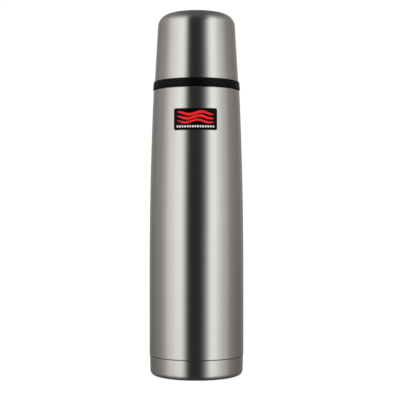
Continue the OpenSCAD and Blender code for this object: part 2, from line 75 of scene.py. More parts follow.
COLLAR_R, LINER_BORE, STOPPER_R, HEAD_R = 32.3, 33.8, 22, 26.2


def side_r(z):
    """Radius of the bottle's side: a straight part, then one long arc."""
    if z <= STRAIGHT_H:
        return BODY_R
    return BODY_R - TAPER_ARC + math.sqrt(TAPER_ARC**2 - (z - STRAIGHT_H) ** 2)


# ---- Outlines ----
def arc(r, z, radius, start, end, steps=8):
    """Points of an arc about (r, z), with its angles in degrees."""
    angles = [math.radians(start + (end - start) * i / steps) for i in range(steps + 1)]
    return [(r + radius * math.cos(a), z + radius * math.sin(a)) for a in angles]


def rounded(corners, steps=5):
    """Closed outline through (r, z, fillet) corners; a corner without a fillet stays sharp."""
    out = []
    for i, (r, z, *fillet) in enumerate(corners):
        here = Vector((r, z))
        back = Vector(corners[i - 1][:2]) - here
        on = Vector(corners[(i + 1) % len(corners)][:2]) - here
        half = back.angle(on) / 2
        if not fillet or half > 1.55:
            out.append((r, z))
            continue
        reach = min(fillet[0] / math.tan(half), 0.49 * back.length, 0.49 * on.length)
        radius = reach * math.tan(half)
        centre = here + (back.normalized() + on.normalized()).normalized() * radius / math.sin(half)
        first, last = (here + d.normalized() * reach - centre for d in (back, on))
        start = math.atan2(first.y, first.x)
        swing = (math.atan2(last.y, last.x) - start + math.pi) % TURN - math.pi
        for k in range(steps + 1):
            a = start + swing * k / steps
            out.append((centre.x + radius * math.cos(a), centre.y + radius * math.sin(a)))
    return out


def dense(outline, radii, step=0.2):
    """The outline with points added along its upright walls at these radii, for a thread to rise from."""
    out = []
    for (r, z), (r2, z2) in zip(outline, outline[1:] + outline[:1]):
        out.append((r, z))
        if abs(r - r2) < 0.01 and any(abs(r - wall) < 0.01 for wall in radii):
            count = int(abs(z2 - z) / step)
            out += [(r, z + (z2 - z) * k / count) for k in range(1, count)]
    return out


def sheet(face, wall):
    """Closed outline of a sheet; face(depth) gives one of its faces."""
    return face(0) + face(wall)[::-1]


# ---- Meshes ----
def lathe(outline, around=192, shift=None):
    """Solid spun from a closed outline; shift(angle, r, z) moves a point outward."""
    bm = bmesh.new()
    rings = []
    for r, z in outline:
        if r < 1e-6:
            rings.append([bm.verts.new((0, 0, z * MM))])
            continue
        ring = []
        for k in range(around):
            a = TURN * k / around
            out = (r + (shift(a, r, z) if shift else 0)) * MM
            ring.append(bm.verts.new((out * math.cos(a), out * math.sin(a), z * MM)))
        rings.append(ring)
    for low, high in zip(rings, rings[1:] + rings[:1]):
        if len(low) == 1 and len(high) == 1:
            continue
        for k in range(around):
            j = (k + 1) % around
            if len(low) == 1:
                bm.faces.new((low[0], high[k], high[j]))
            elif len(high) == 1:
                bm.faces.new((low[k], high[0], low[j]))
            else:
                bm.faces.new((low[k], high[k], high[j], low[j]))
    bmesh.ops.recalc_face_normals(bm, faces=bm.faces)
    return bm


def ridge(angle, z, start_z, lead, starts, turns):
    """How far a rounded thread ridge stands up at a point of its wall, from 0 to 1."""
    height = 0
    for s in range(starts):
        run = (angle - RIDGE_START - TURN * s / starts) % TURN
        if run < turns * TURN:
            off = abs(z - start_z - lead * run / TURN)
            flank = min(1, max(0, (RIDGE_ROOT / 2 - off) / (RIDGE_ROOT / 2 - RIDGE_CREST / 2)))
            fade = min(1, run / RIDGE_FADE, (turns * TURN - run) / RIDGE_FADE)
            height = max(height, flank * flank * (3 - 2 * flank) * fade)
    return height


def threaded(radii, way, start_z, lead, starts, turns):
    """Shift that raises a thread on the upright walls at these radii; way is 1 outward and -1 inward."""

    def shift(angle, r, z):
        if all(abs(r - wall) > 0.01 for wall in radii):
            return 0
        return way * THREAD_DEPTH * ridge(angle, z, start_z, lead, starts, turns)

    return shift


def swept(path, radius, closed=False, sides=14):
    """Round wire along a path of points in millimetres."""
    bm = bmesh.new()
    rings = []
    count = len(path)
    for i, point in enumerate(path):
        before = path[i - 1] if i or closed else point
        after = path[(i + 1) % count] if i < count - 1 or closed else point
        along = (after - before).normalized()
        side = along.cross(UP).normalized()
        over = side.cross(along)
        ring = []
        for k in range(sides):
            a = TURN * k / sides
            ring.append(bm.verts.new((point + (side * math.cos(a) + over * math.sin(a)) * radius) * MM))
        rings.append(ring)
    for a, b in zip(rings, rings[1:] + (rings[:1] if closed else [])):
        for k in range(sides):
            j = (k + 1) % sides
            bm.faces.new((a[k], b[k], b[j], a[j]))
    if not closed:
        bm.faces.new(rings[0])
        bm.faces.new(rings[-1][::-1])
    bmesh.ops.recalc_face_normals(bm, faces=bm.faces)
    return bm


def block(low, high, bevel=0.3):
    """Box between two corners in millimetres, with rounded edges."""
    bm = bmesh.new()
    bmesh.ops.create_cube(bm, size=1)
    for v in bm.verts:
        v.co = Vector([(a if c < 0 else b) * MM for c, a, b in zip(v.co, low, high)])
    bmesh.ops.bevel(
        bm, geom=bm.edges, offset=bevel * MM, segments=3, profile=0.5, affect="EDGES", clamp_overlap=True
    )
    return bm


def tube(r_in, r_out, z, top, fillet=0.2, around=144):
    """Ring between two radii, with rounded edges."""
    corners = [(r_in, z, fillet), (r_out, z, fillet), (r_out, top, fillet), (r_in, top, fillet)]
    return lathe(rounded(corners), around)


def as_object(bm, name="shape"):
    mesh = bpy.data.meshes.new(name)
    bm.to_mesh(mesh)
    bm.free()
    obj = bpy.data.objects.new(name, mesh)
    bpy.context.scene.collection.objects.link(obj)
    return obj


def combined(base, others, operation):
    """Boolean of one solid with several others, as a new solid."""
    solids = [as_object(bm) for bm in [base, *others]]
    for other in solids[1:]:
        made = solids[0].modifiers.new("boolean", "BOOLEAN")
        made.operation, made.solver, made.object = operation, "EXACT", other
    depsgraph = bpy.context.evaluated_depsgraph_get()
    mesh = bpy.data.meshes.new_from_object(solids[0].evaluated_get(depsgraph))
    bm = bmesh.new()
    bm.from_mesh(mesh)
    for obj in solids:
        data = obj.data
        bpy.data.objects.remove(obj)
        bpy.data.meshes.remove(data)
    bpy.data.meshes.remove(mesh)
    return bm


def cut(base, *others):
    return combined(base, others, "DIFFERENCE")


def joined(base, *others):
    return combined(base, others, "UNION")


def turned(bm, degrees):
    """The solid turned about the flask's axis."""
    a = math.radians(degrees)
    for v in bm.verts:
        x, y = v.co.x, v.co.y
        v.co.x, v.co.y = x * math.cos(a) - y * math.sin(a), x * math.sin(a) + y * math.cos(a)
    return bm


def piece(name, bm, body, nodes, material, sharp=38):
    """A finished piece, creased over `sharp` degrees, that rides on its body in place of its CAD nodes."""
    obj = as_object(bm, name)
    for face in obj.data.polygons:
        face.use_smooth = True
    obj.data.set_sharp_from_angle(angle=math.radians(sharp))
    obj.data.materials.clear()
    obj.data.materials.append(material)
    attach(obj, body)
    if nodes:
        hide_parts(*nodes)
    return obj


# ---- Materials ----
def add(tree, kind, ins=None, **settings):
    """A new node; ins gives a value or a socket for each of its inputs."""
    made = tree.nodes.new(kind)
    for key, value in settings.items():
        setattr(made, key, value)
    for key, value in (ins or {}).items():
        if isinstance(value, bpy.types.NodeSocket):
            tree.links.new(value, made.inputs[key])
        else:
            made.inputs[key].default_value = value
    return made


def surface(name):
    material = bpy.data.materials.new(name)
    material.use_nodes = True
    return material, material.node_tree, material.node_tree.nodes["Principled BSDF"]


def ranged(tree, value, low, high, start=0.3, end=0.7):
    ins = {"Value": value, "From Min": start, "From Max": end, "To Min": low, "To Max": high}
    return add(tree, "ShaderNodeMapRange", ins).outputs["Result"]


def mottle(tree, vector, scale, low, high, detail=3):
    """Noise stretched to the range low..high."""
    made = add(tree, "ShaderNodeTexNoise", {"Vector": vector, "Scale": scale, "Detail": detail})
    return ranged(tree, made.outputs[0], low, high)


def blended(tree, factor, one, other):
    made = add(tree, "ShaderNodeMix", data_type="RGBA")
    tree.links.new(factor, made.inputs["Factor"])
    made.inputs[6].default_value, made.inputs[7].default_value = (*one, 1), (*other, 1)
    return made.outputs[2]


def bump(tree, shader, height, strength, distance):
    made = add(tree, "ShaderNodeBump", {"Height": height, "Strength": strength, "Distance": distance})
    tree.links.new(made.outputs["Normal"], shader.inputs["Normal"])


def turned_coordinates(tree, slope, around, along):
    """Object coordinates for marks that run round the axis: `along` is their density up the outline."""
    place = add(tree, "ShaderNodeTexCoord").outputs["Object"]
    flat = add(tree, "ShaderNodeVectorMath", {0: place, 1: (1, 1, 0)}, operation="MULTIPLY").outputs[0]
    radius = add(tree, "ShaderNodeVectorMath", {0: flat}, operation="LENGTH").outputs["Value"]
    height = add(tree, "ShaderNodeSeparateXYZ", {0: place}).outputs["Z"]
    run = add(tree, "ShaderNodeMath", {0: radius, 1: slope, 2: height}, operation="MULTIPLY_ADD").outputs[0]
    spread = add(tree, "ShaderNodeMath", {0: run, 1: along}, operation="MULTIPLY").outputs[0]
    rise = add(tree, "ShaderNodeCombineXYZ", {"Z": spread}).outputs[0]
    ins = {0: flat, 1: (around, around, around), 2: rise}
    return add(tree, "ShaderNodeVectorMath", ins, operation="MULTIPLY_ADD").outputs[0]


def brushed(name, dark, light, slope, rough=(0.24, 0.28), strength=0.02):
    """Steel brushed round the axis: long fine lines, and highlights stretched across them."""
    material, tree, shader = surface(name)
    fine = mottle(tree, turned_coordinates(tree, slope, 16, 3600), 1, 0, 1, 2)
    coarse = mottle(tree, turned_coordinates(tree, slope, 6, 900), 1, 0, 1, 2)
    lines = add(tree, "ShaderNodeMath", {0: fine, 1: 0.6}, operation="MULTIPLY").outputs[0]
    lines = add(tree, "ShaderNodeMath", {0: coarse, 1: 0.4, 2: lines}, operation="MULTIPLY_ADD").outputs[0]
    tree.links.new(blended(tree, lines, dark, light), shader.inputs["Base Color"])
    tree.links.new(ranged(tree, lines, *rough, 0, 1), shader.inputs["Roughness"])
    shader.inputs["Metallic"].default_value = 1
    shader.inputs["Anisotropic"].default_value = 0.89
    shader.inputs["Anisotropic Rotation"].default_value = 0.25
    tangent = add(tree, "ShaderNodeTangent", direction_type="RADIAL", axis="Z")
    tree.links.new(tangent.outputs[0], shader.inputs["Tangent"])
    bump(tree, shader, fine, strength, 0.0001)
    return material


def plain(name, one, other, rough, scale, metal=0, specular=0.5, relief=0.1, distance=0.00005):
    """A finish with a soft mottle between two colours and a fine grain."""
    material, tree, shader = surface(name)
    place = add(tree, "ShaderNodeTexCoord").outputs["Object"]
    colour = blended(tree, mottle(tree, place, scale / 4, 0, 1), one, other)
    tree.links.new(colour, shader.inputs["Base Color"])
    tree.links.new(mottle(tree, place, scale, *rough), shader.inputs["Roughness"])
    shader.inputs["Metallic"].default_value = metal
    shader.inputs["Specular IOR Level"].default_value = specular
    bump(tree, shader, mottle(tree, place, scale * 4, 0, 1), relief, distance)
    return material


STEEL_DARK, STEEL_LIGHT = (0.595, 0.584, 0.569), (0.66, 0.65, 0.635)
INK = (0.001, 0.001, 0.001)

steel_side = brushed("steel_brushed", STEEL_DARK, STEEL_LIGHT, -1)
steel_base = brushed("steel_brushed_base", STEEL_DARK, STEEL_LIGHT, 1)
steel_inner = plain(
    "steel_polished", (0.62, 0.61, 0.6), (0.72, 0.715, 0.7), (0.16, 0.26), 900, 1, relief=0.05
)
steel_wire = plain("steel_wire", (0.5, 0.5, 0.49), (0.66, 0.66, 0.65), (0.22, 0.36), 2500, 1)
foil = plain(
    "foil", (0.8, 0.79, 0.77), (0.9, 0.89, 0.88), (0.12, 0.3), 700, 1, relief=0.5, distance=0.0002
)
sintered = plain(
    "getter_sintered", (0.09, 0.09, 0.095), (0.17, 0.17, 0.18), (0.6, 0.85), 4000, 0.4, relief=0.6
)
black = plain("plastic_black", INK, (0.003, 0.0029, 0.0028), (0.28, 0.38), 1500, specular=0.1)
grey = plain(
    "plastic_grey", (0.075, 0.077, 0.08), (0.1, 0.102, 0.106), (0.42, 0.54), 1500, specular=0.4
)
pale = plain("plastic_natural", (0.66, 0.65, 0.61), (0.75, 0.74, 0.7), (0.38, 0.5), 1200)
dark_rubber = plain(
    "silicone_dark", (0.018, 0.018, 0.019), (0.03, 0.03, 0.031), (0.55, 0.7), 1800, specular=0.3
)
clear_rubber = plain("silicone_milky", (0.62, 0.61, 0.57), (0.72, 0.71, 0.67), (0.35, 0.5), 900)
lacquer = plain("badge_lacquer", INK, (0.002, 0.0018, 0.0018), (0.15, 0.22), 900, specular=0.05)
badge_edge = plain("badge_edge", (0.7, 0.69, 0.67), (0.82, 0.81, 0.79), (0.2, 0.32), 2500, 1)
badge_red = plain("badge_red", (0.68, 0.008, 0.01), (0.8, 0.014, 0.014), (0.3, 0.4), 2500, specular=0.2)
badge_white = plain("badge_white", (0.72, 0.71, 0.69), (0.82, 0.81, 0.79), (0.25, 0.35), 2500)


# ---- Bottle ----
def shell_face(depth):
    """One face of the outer shell, from its joggled skirt to the neck."""
    heights = [STRAIGHT_H * k / 8 for k in range(2, 9)]
    heights += [STRAIGHT_H + (BODY_H - 1.4 - STRAIGHT_H) * k / 40 for k in range(1, 41)]
    in_bend = depth * math.tan(math.radians(22.5))
    return (
        [(39.85 - depth, 6.6), (39.85 - depth, 16.7 + in_bend), (BODY_R - depth, 17.85 + in_bend)]
        + [(side_r(z) - depth, z) for z in heights]
        + arc(side_r(BODY_H - 1.4) - 1.4, BODY_H - 1.4, 1.4 - depth, 3, 90, 10)
        + arc(NECK_R + 1, BODY_H + 1, 1 + depth, 270, 180, 6)
        + ([] if depth else arc(NECK_R - 0.2, 256.5, 0.6, -65, 65, 8))
        + [(NECK_R - depth, ROLL_Z)]
    )


shell = lathe(sheet(shell_face, SHELL), 288)
piece("flask_shell", shell, "flask", ["outer_shell"], steel_side)


def vessel_r(z):
    """Outer radius of the inner vessel at a height."""
    return side_r(z) - SHELL - VACUUM


def vessel_face(depth):
    """One face of the inner vessel, from its foot to the lip rolled over the neck."""
    heights = [STRAIGHT_H + (SHOULDER_Z - STRAIGHT_H) * k / 24 for k in range(25)]
    throat = THROAT_R + VESSEL_WALL
    wall = NECK_BORE + VESSEL_WALL
    step_z = SEAT_Z - VESSEL_WALL + depth
    return (
        [(vessel_r(VESSEL_Z) - depth, VESSEL_Z)]
        + [(vessel_r(z) - depth, z) for z in heights]
        + arc(vessel_r(SHOULDER_Z) - 8, SHOULDER_Z, 8 - depth, 8, 90, 12)
        + arc(throat + FLARE, THROAT_Z, FLARE + depth, 270, 180, 8)
        + [(throat - depth, step_z), (wall - depth, step_z)]
        + [(wall - depth, SEAT_Z + 1), (wall - depth, 261.1)]
        + arc(wall + 1.4, ROLL_Z, 1.4 + depth, 180, 0, 14)
    )


neck_thread = threaded([NECK_BORE, NECK_BORE + VESSEL_WALL], -1, 247.5, STOPPER_LEAD, STOPPER_STARTS, 0.9)
vessel = sheet(vessel_face, VESSEL_WALL)
vessel = lathe(dense(vessel, [NECK_BORE, NECK_BORE + VESSEL_WALL]), 288, neck_thread)
piece("vessel", vessel, "flask", ["inner_vessel"], steel_inner)


def dish_face(depth):
    """One face of the vessel's bottom: an upright flange, a bend and a shallow dish."""
    r = vessel_r(VESSEL_Z) - VESSEL_WALL - depth
    rings = [(r + depth - 3) * (1 - k / 10) for k in range(1, 10)]
    return (
        [(r, 22.2)]
        + arc(r + depth - 3, 18.2, 3 - depth, 0, -84, 8)
        + [(q, 13.4 + depth + 1.8 * (q / 34) ** 2) for q in rings]
        + [(0, 13.4 + depth)]
    )


vessel_dish = lathe(sheet(dish_face, VESSEL_WALL))
piece("vessel_bottom", vessel_dish, "flask", ["inner_bottom"], steel_inner)


def port_face(depth):
    """One face of the outer bottom: a hanging flange and a dimple round the port."""
    r, z = 39.45 - depth, 9.5 - depth
    dimple = [(12, z), (11.6, z - 0.2), (10.8, z - 1.2), (10.4, z - 1.4), (1.5, z - 1.4)]
    return [(r, 6.6)] + arc(r - 1, z - 1, 1, 0, 90, 5) + dimple


port_dish = lathe(sheet(port_face, SHELL))
piece("shell_bottom", port_dish, "flask", ["outer_bottom"], steel_inner)

stub = rounded([(0, 6.5), (4, 6.5, 0.4), (4, 7.7, 0.3), (1.48, 7.7, 0.3), (1.48, 8.68, 0.3), (0, 8.68)])
piece("port_seal", lathe(stub, 48), "flask", ["vacuum_plug"], steel_inner)


def crinkle(angle, r, z):
    """Shallow wrinkles of the wrapped foil, and the step where it overlaps."""
    spot = Vector((math.cos(angle) * 5, math.sin(angle) * 5, z / 22))
    fold = noise.noise(spot * 1.6) * 0.35 + noise.noise(spot * 4.1) * 0.2
    return 0.3 + fold + (0.2 if angle < 0.5 else 0)


def foil_face(depth):
    """One face of the foil, over the vessel's side."""
    heights = [20.2 + (224 - 20.2) * k / 70 for k in range(71)]
    return [(vessel_r(z) + 0.35 - depth, z) for z in heights]


piece("foil_wrap", lathe(sheet(foil_face, 0.2), 240, crinkle), "flask", ["radiation_foil"], foil)

GETTER_X = 24
pellet = lathe(
    rounded([(0, 9.8), (4.5, 9.8, 0.3), (4.5, 11.4, 0.3), (2.6, 11.4, 0.1), (2.4, 11.2, 0.1), (0, 11.2)]), 64
)
for v in pellet.verts:
    v.co.x += GETTER_X * MM
piece("getter_pellet", pellet, "flask", ["getter"], sintered)
clip = block((19.1, -2.5, 9.5), (28.9, 2.5, 9.8), 0.1)
for x, lip_x in ((19.1, 19.1), (28.6, 27.1)):
    arm = block((x, -2.5, 9.5), (x + 0.3, 2.5, 11.7), 0.1)
    clip_lip = block((lip_x, -2.5, 11.4), (lip_x + 1.8, 2.5, 11.7), 0.1)
    clip = joined(clip, arm, clip_lip)
piece("getter_strip", clip, "flask", ["getter_clip"], steel_wire)


def cap_face(depth):
    """One face of the base cap, from its seam round the foot ring to the recess."""
    inner = 30.8 + depth / 2
    floor_z = 2.5 + depth
    return (
        [(40.6 - depth, 16.9), (40.49 - depth, 10.6)]
        + arc(35.8, 4.5, 4.5 - depth, 0, -90, 14)
        + arc(inner, 0.8, 0.8 - depth, 270, 225, 3)[:3]
        + [(28.9 + depth / 2, 2.1 + depth), (28.3 + depth / 2, 2.44 + depth), (27.6, floor_z)]
        + [(20, floor_z), (19.6, 2.45 + depth), (19.0, 2.45 + depth), (18.6, floor_z), (0, floor_z)]
    )


base_cap = lathe(sheet(cap_face, SHELL), 288)
piece("base_cap_skin", base_cap, "flask", ["base_cap"], steel_base)

# ---- Collar round the neck ----
collar = rounded(
    [
        (30.7, BODY_H, 0.2), (COLLAR_R, BODY_H, 0.2), (COLLAR_R, 260.5, 0.8), (27.05, 260.5, 0.3),
        (27.05, 257.4, 0.2), (27.5, 256.9, 0.3), (27.5, 256.1, 0.3), (27.05, 255.6, 0.2),
        (27.05, 249.5, 0.3), (28.65, 249.5, 0.3), (28.65, 258.9, 0.4), (30.7, 258.9, 0.4),
    ]
)
collar_thread = threaded([COLLAR_R], 1, 251.1, CUP_LEAD, CUP_STARTS, 0.4)
collar = lathe(dense(collar, [COLLAR_R]), 288, collar_thread)
piece("collar_ring", collar, "flask", ["neck_collar"], black)
for k in range(12):
    rib = turned(block((28.4, -0.6, 250.5), (30.9, 0.6, 259.2), 0.15), 30 * (k + 1))
    piece(f"collar_rib_{k + 1}", rib, "flask", [], black)


# ---- Badge ----
BADGE_Z, BADGE_W, BADGE_H, BADGE_RIM = 219.5, 36.4, 18.6, 0.12
DASH_PITCH = 2.15


def on_side(x, z, out):
    """Point on the bottle's front, `out` millimetres off its side."""
    r = side_r(z) + 0.05 + out
    return Vector((x, -math.sqrt(r * r - x * x), z)) * MM


def plaque(w, h, corner, low, high, edge, centre_z=BADGE_Z, centre_x=0, columns=40):
    """Rounded rectangle bent round the bottle's side, with its front edges rounded."""

    def rows(inset):
        """Heights of the grid's rows, each with half its width."""
        r = max(0.01, corner - inset)
        turn = [math.radians(-90 + 18 * k) for k in range(6)]
        half = h / 2 - inset
        lower = [(-half + r + r * math.sin(a), w / 2 - inset - r + r * math.cos(a)) for a in turn]
        middle = [((2 * k / 12 - 1) * (half - r), w / 2 - inset) for k in range(1, 12)]
        upper = [(-z, x) for z, x in lower[::-1]]
        return lower + middle + upper

    bm = bmesh.new()

    def layer(inset, out):
        """Grid of points over the whole face."""
        grid = []
        for z, x in rows(inset):
            across = [centre_x + x * (2 * c / columns - 1) for c in range(columns + 1)]
            grid.append([bm.verts.new(on_side(spot, centre_z + z, out)) for spot in across])
        return grid

    def rim(grid):
        """The grid's outer points, in order round it."""
        side = [row[-1] for row in grid[1:-1]], [row[0] for row in grid[1:-1]]
        return grid[0] + side[0] + grid[-1][::-1] + side[1][::-1]

    def outline(inset, out):
        """Loop of points round the edge alone."""
        spots = rows(inset)
        grid = [[(x * (2 * c / columns - 1), z) for c in range(columns + 1)] for z, x in spots]
        return [bm.verts.new(on_side(centre_x + x, centre_z + z, out)) for x, z in rim(grid)]

    back, front = layer(0, low), layer(edge, high)
    for grid in (back, front):
        for a, b in zip(grid, grid[1:]):
            for c in range(columns):
                bm.faces.new((a[c], a[c + 1], b[c + 1], b[c]))
    loops = [rim(back), outline(0, high - edge), outline(edge * 0.3, high - edge * 0.3), rim(front)]
    for a, b in zip(loops, loops[1:]):
        for k in range(len(a)):
            j = (k + 1) % len(a)
            bm.faces.new((a[k], a[j], b[j], b[k]))
    bmesh.ops.recalc_face_normals(bm, faces=bm.faces)
    return bm


def wave(base, thick, tilt, low, high, columns=96, reach=15.4):
    """Ribbon with a wavy course across the badge, tapering to both ends."""
    bm = bmesh.new()
    rings = []
    for c in range(columns + 1):
        u = 2 * c / columns - 1
        x = u * reach
        middle = base + 1.15 * math.sin(u * 1.5 * math.pi + tilt)
        half = max(0.12, thick / 2 * (1 - u**4) ** 0.5)
        lower = [(-half, low), (-half, high - 0.05), (-half + 0.08, high)]
        section = lower + [(-dz, out) for dz, out in lower[::-1]]
        rings.append([bm.verts.new(on_side(x, BADGE_Z + middle + dz, out)) for dz, out in section])
    for a, b in zip(rings, rings[1:]):
        for k in range(6):
            j = (k + 1) % 6
            bm.faces.new((a[k], a[j], b[j], b[k]))
    bm.faces.new(rings[0])
    bm.faces.new(rings[-1][::-1])
    bmesh.ops.recalc_face_normals(bm, faces=bm.faces)
    return bm


plate = plaque(BADGE_W, BADGE_H, 1.5, 0, 0.42, 0.15)
piece("badge_frame", plate, "flask", ["badge_plate"], badge_edge)
field = plaque(BADGE_W - 2 * BADGE_RIM, BADGE_H - 2 * BADGE_RIM, 1.4, 0.36, 0.47, 0.06)
piece("badge_field", field, "flask", [], lacquer)
for k, (base, thick) in enumerate(((5.0, 2.3), (1.6, 2.4), (-1.8, 2.0))):
    piece(f"badge_wave_{k + 1}", wave(base, thick, 0.5 * k, 0.44, 0.5), "flask", [], badge_red)
for k in range(15):
    dash = plaque(1.3, 1.7, 0.3, 0.44, 0.5, 0.03, BADGE_Z - 6.2, DASH_PITCH * (k - 7), 8)
    piece(f"badge_dash_{k + 1}", dash, "flask", [], badge_white)


# ---- Cup ----
# The crown's corner is an arc that touches both the drafted side, inside it, and the dome
dome_z = CROWN_Z - DOME_R
draft = math.tan(DRAFT)
corner_a = MOUTH_R - CORNER_R / math.cos(DRAFT) + draft * BAND_TOP
corner_b = corner_a * draft + dome_z
corner_c = corner_a**2 + dome_z**2 - (DOME_R - CORNER_R) ** 2
corner_z = (corner_b + math.sqrt(corner_b**2 - (1 + draft**2) * corner_c)) / (1 + draft**2)
corner_r = corner_a - draft * corner_z
corner_end = math.degrees(math.atan2(corner_z - dome_z, corner_r))


def cup_face(z, depth):
    """One face of the cup from a height on its drafted side, over the crown's corner, to the axis."""
    wall_r = MOUTH_R - draft * (z - BAND_TOP) - depth / math.cos(DRAFT)
    side = [(wall_r - draft * (corner_z - z) * k / 10, z + (corner_z - z) * k / 10) for k in range(10)]
    corner = arc(corner_r, corner_z, CORNER_R - depth, math.degrees(DRAFT), corner_end, 28)
    dome = arc(0, dome_z, DOME_R - depth, corner_end, 90, 14)
    return side + corner + dome[1:-1] + [(0, CROWN_Z - depth)]


cup_skin = cup_face(BAND_TOP, 0) + cup_face(BAND_TOP, SHELL)[::-1]
piece("cup_skin", lathe(cup_skin, 288), "cup", ["cup_shell"], steel_side)

lip = [(35.85, 247.8)] + arc(37.35, 248.4, 0.6, -90, 0, 6) + arc(36.95, BAND_TOP - 0.5, 0.5, 0, 90, 8)
liner_bore = [(35.85, 249.4), (LINER_BORE, 249.4), (LINER_BORE, 261.5)]
liner = lip + cup_face(BAND_TOP, 0.45) + (liner_bore + cup_face(263, 1.95))[::-1]
liner_thread = threaded([LINER_BORE], -1, 253.1, CUP_LEAD, CUP_STARTS, 0.4)
liner = lathe(dense(liner, [LINER_BORE]), 288, liner_thread)
piece("cup_lining", liner, "cup", ["cup_liner"], black)
soft_ring = tube(33.9, 35.8, 247.55, 249.35, 0.5)
piece("cup_gasket", soft_ring, "cup_ring", ["cup_seal"], dark_rubber)

# ---- Stopper ----
gasket_low, gasket_high = (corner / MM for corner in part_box("stopper_gasket"))
gasket = lathe(
    rounded(
        [
            (20.75, gasket_low.z, 0.5), (gasket_high.x, gasket_low.z, 0.6),
            (gasket_high.x, gasket_high.z, 0.6), (20.75, gasket_high.z, 0.5),
        ]
    )
)
piece("stopper_ring_gasket", gasket, "stopper_ring", ["stopper_gasket"], clear_rubber)

stopper_outline = rounded(
    [
        (9, 236, 0.4), (20.7, 236, 0.8), (20.7, 244.75, 0.2), (STOPPER_R, 244.75, 0.25),
        (STOPPER_R, 263.7, 0.4), (HEAD_R, 263.7, 0.8), (HEAD_R, 272, 0.25), (24.5, 272, 0.15),
        (24.5, 267.9, 0.1), (23.7, 267.9, 0.1), (23.7, 264.9, 0.3), (19.7, 264.9, 0.4),
        (19.7, 238, 0.8), (9, 238, 0.3),
    ]
)
stopper_thread = threaded([STOPPER_R], 1, 249.5, STOPPER_LEAD, STOPPER_STARTS, 0.9)
FLUTE_R, FLUTE_PITCH = 0.9, 9


def fluted(angle, r, z):
    """Grip flutes round the head, and the thread lower down."""
    inner = HEAD_R - 0.8
    if r < inner:
        return stopper_thread(angle, r, z)
    off = math.radians(abs(math.degrees(angle) % FLUTE_PITCH - FLUTE_PITCH / 2)) * HEAD_R
    depth = max(0, math.sqrt(max(0, FLUTE_R**2 - off**2)) - 0.5)
    return -depth * min(1, (r - inner) / 0.4)


head = lathe(dense(stopper_outline, [STOPPER_R]), 480, fluted)
pour_channel = block((-8, -28, 264.9), (8, 28, 267.9), 0.7)
tab_windows = block((-28, -6.5, 269.1), (28, 6.5, 275), 0.3)
head = cut(head, pour_channel, tab_windows)
piece("stopper_shell", head, "stopper", ["stopper_body"], black)

core = rounded(
    [
        (2.8, 242, 0.3), (12.5, 242, 0.6), (12.5, 267.9, 0.4), (24.45, 267.9, 0.2), (24.45, 269.1, 0.2),
        (11.2, 269.1, 0.3), (11.2, 245.2, 0.5), (2.8, 245.2, 0.2), (2.8, 244.45), (4.45, 244.45),
        (4.45, 242.75), (2.8, 242.75),
    ]
)
piece("stopper_core_tube", lathe(core), "stopper", ["stopper_core"], pale)

cover = rounded(
    [
        (13.4, 272, 0.1), (HEAD_R, 272, 0.15), (HEAD_R, 273.4, 0.6), (22.6, 273.4, 0.1),
        (22.4, 273.2, 0.1), (21.9, 273.2, 0.1), (21.7, 273.4, 0.1), (13.4, 273.4, 0.35),
    ]
)
keeper = tube(23.3, 24.45, 270.8, 272.3, 0.15)
gap = block((-30, -9.5, 270), (30, 9.5, 272.05), 0.1)
cover = joined(lathe(cover), cut(keeper, gap))
piece("stopper_cover_plate", cover, "stopper", ["stopper_cover"], black)

oring = arc(2.8 + 0.8, 243.6, 0.8, 0, 345, 23)
piece("stem_oring", lathe(oring, 64), "stopper", ["stem_seal"], dark_rubber)

# ---- Spring and latch ----
SPRING_R, SPRING_Z, SPRING_TOP, SPRING_TURNS, WIRE = 6.2, 245.25, 273.25, 8, 0.8


def coil_height(t):
    """Height of the wire's centre after t turns; the end turns are closed."""
    length = SPRING_TOP - SPRING_Z - WIRE
    if t < 1:
        return WIRE * t
    if t > SPRING_TURNS - 1:
        return length - WIRE * (SPRING_TURNS - t)
    return WIRE + (length - 2 * WIRE) * (t - 1) / (SPRING_TURNS - 2)


coil = []
for k in range(48 * SPRING_TURNS + 1):
    a, z = TURN * k / 48, SPRING_Z + WIRE / 2 + coil_height(k / 48)
    coil.append(Vector((SPRING_R * math.cos(a), SPRING_R * math.sin(a), z)))
coil = swept(coil, WIRE / 2)
spring = piece("button_spring", coil, "stopper", ["valve_spring"], steel_wire)
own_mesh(spring)

LATCH_X, LATCH_Y, LATCH_Z, LATCH_WIRE = 14.3, 10.1, 269.65, 0.9
for side, joint, turn in (("left", "release_left_press", 90), ("right", "release_right_press", -90)):
    path = []
    for k in range(49):
        a = math.radians(turn + 180 * k / 48)
        path.append(Vector((LATCH_X * math.cos(a), LATCH_Y * math.sin(a), LATCH_Z)))
    wire = swept(path, LATCH_WIRE / 2)
    half = piece(f"latch_wire_{side}", wire, "stopper", ["latch_ring"], steel_wire)
    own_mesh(half)

# ---- Button and valve ----
dish = [(10.1 * k / 12, 275.0 + 0.5 * (k / 12) ** 2.2) for k in range(12, -1, -1)]
button = rounded(
    [
        (2.77, 264.3, 0.2), (4.6, 264.3, 0.3), (4.6, 273.3, 0.5), (8, 273.3, 0.5), (8, 252.05, 0.2),
        (11.1, 252.05, 0.4), (11.1, 255.05, 0.4), (9.5, 255.05, 0.2), (9.5, 271.1, 0.1), (8.9, 271.4, 0.1),
        (8.9, 272.2, 0.1), (9.5, 272.5, 0.1), (9.5, 273.3, 0.1), (13.1, 273.3, 0.3), (13.1, 275.5, 0.8),
        (11.2, 275.5), (10.6, 275.49), *dish, (0, 272.35), (2.77, 272.35),
    ]
)
piece("button_cap", lathe(button, 144), "valve", ["push_button"], grey)

